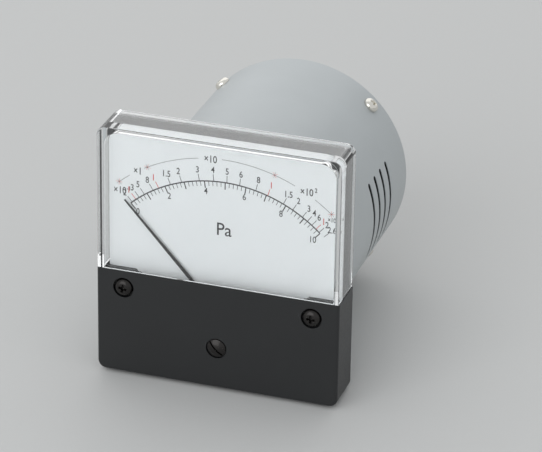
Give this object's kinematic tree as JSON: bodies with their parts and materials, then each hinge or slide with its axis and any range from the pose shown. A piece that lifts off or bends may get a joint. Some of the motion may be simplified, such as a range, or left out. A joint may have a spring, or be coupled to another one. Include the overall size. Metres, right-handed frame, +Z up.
{
  "type": "pirani vacuum gauge",
  "caption": "Square panel meter of a thermal conductivity vacuum gauge: clear cover, black lower panel, white dial with pointer and a round can behind.",
  "frame": {"origin": "centre of the bezel's rear face, on the can's axis, which is the face that seats on an instrument panel", "axes": "+Y along the can's axis towards the rear, +Z up, +X to the right as seen from the front"},
  "size_m": [0.085, 0.0986, 0.0896],
  "materials": {
    "clear_plastic": "clear gloss",
    "black_gloss": "gloss",
    "black_matte": "matt",
    "black_screw": "black, glossy",
    "nickel_steel": "bright nickel",
    "bare_steel": "satin",
    "bare_brass": "satin",
    "dial_white": "matt white",
    "magnet": "ground",
    "bare_aluminium": "bright",
    "copper": "enamelled",
    "pointer_black": "matt black",
    "can_grey": "satin",
    "board": "satin",
    "chip": "matt",
    "coil_tape": "taped",
    "capacitor": "sleeved",
    "pot": "matt"
  },
  "bodies": {
    "housing": {"cover": "clear_plastic", "lower_panel": "black_gloss", "meter_case": "black_matte", "terminal_block": "black_matte", "socket_insert": "black_matte", "front_screws": "black_screw", "can_screws": "nickel_steel", "plate_screws": "nickel_steel", "panel_studs": "nickel_steel", "terminal_studs": "nickel_steel", "terminal_nuts": "nickel_steel", "terminal_screws": "nickel_steel", "block_screws": "nickel_steel", "gauge_socket": "nickel_steel", "socket_nut": "nickel_steel", "pot_nuts": "nickel_steel", "dial_screws": "nickel_steel", "frame_screws": "bare_steel", "yoke_ring": "bare_steel", "strap_screws": "bare_steel", "transformer_core": "bare_steel", "front_bridge": "bare_brass", "rear_bridge": "bare_brass", "front_sleeves": "bare_brass", "rear_sleeves": "bare_brass", "core_straps": "bare_brass", "front_jewel_screw": "bare_brass", "rear_jewel_screw": "bare_brass", "jewel_nuts": "bare_brass", "rear_spring": "bare_brass", "front_spacers": "bare_brass", "middle_spacers": "bare_brass", "rear_spacers": "bare_brass", "pointer_stops": "bare_brass", "dial_plate": "dial_white", "magnet_core": "magnet", "can": "can_grey", "rear_plate": "can_grey", "amplifier_board": "board", "power_board": "board", "amplifier_chips": "chip", "regulator": "chip", "transformer_coil": "coil_tape", "capacitors": "capacitor", "pot_bodies": "pot"},
    "zero_adjuster": {"zero_adjuster": "black_screw", "adjuster_ring": "bare_steel"},
    "zero_arm": {"zero_arm": "bare_brass", "front_spring": "bare_brass"},
    "moving_coil": {"coil_former": "bare_aluminium", "coil_winding": "copper", "coil_staffs": "bare_steel", "pointer": "pointer_black", "balance_weights": "bare_brass"},
    "zero_pot": {"zero_pot_shaft": "bare_steel"},
    "span_pot": {"span_pot_shaft": "bare_steel"}
  },
  "joints": [
    {"name": "adjuster_turn", "type": "hinge", "parent": "housing", "child": "zero_adjuster", "pos_m": [0, -0.0152, -0.03], "axis": [0, 1, 0], "range_deg": [-35, 35]},
    {"name": "zero_arm_turn", "type": "hinge", "parent": "housing", "child": "zero_arm", "pos_m": [0, -0.0122, -0.0198], "axis": [0, 1, 0], "range_deg": [-4.1, 4.1]},
    {"name": "pointer_turn", "type": "hinge", "parent": "zero_arm", "child": "moving_coil", "pos_m": [0, 0, -0.0198], "axis": [0, 1, 0], "range_deg": [-4, 90], "stiffness_Nm_per_rad": 0.00003},
    {"name": "zero_pot_turn", "type": "hinge", "parent": "housing", "child": "zero_pot", "pos_m": [-0.013, 0.0735, 0.0155], "axis": [0, 1, 0], "range_deg": [-150, 150]},
    {"name": "span_pot_turn", "type": "hinge", "parent": "housing", "child": "span_pot", "pos_m": [-0.013, 0.0735, -0.0015], "axis": [0, 1, 0], "range_deg": [-150, 150]}
  ],
  "couplings": [
    {"joint": "adjuster_turn", "follows": "zero_arm_turn", "ratio": 8.4746}
  ]
}
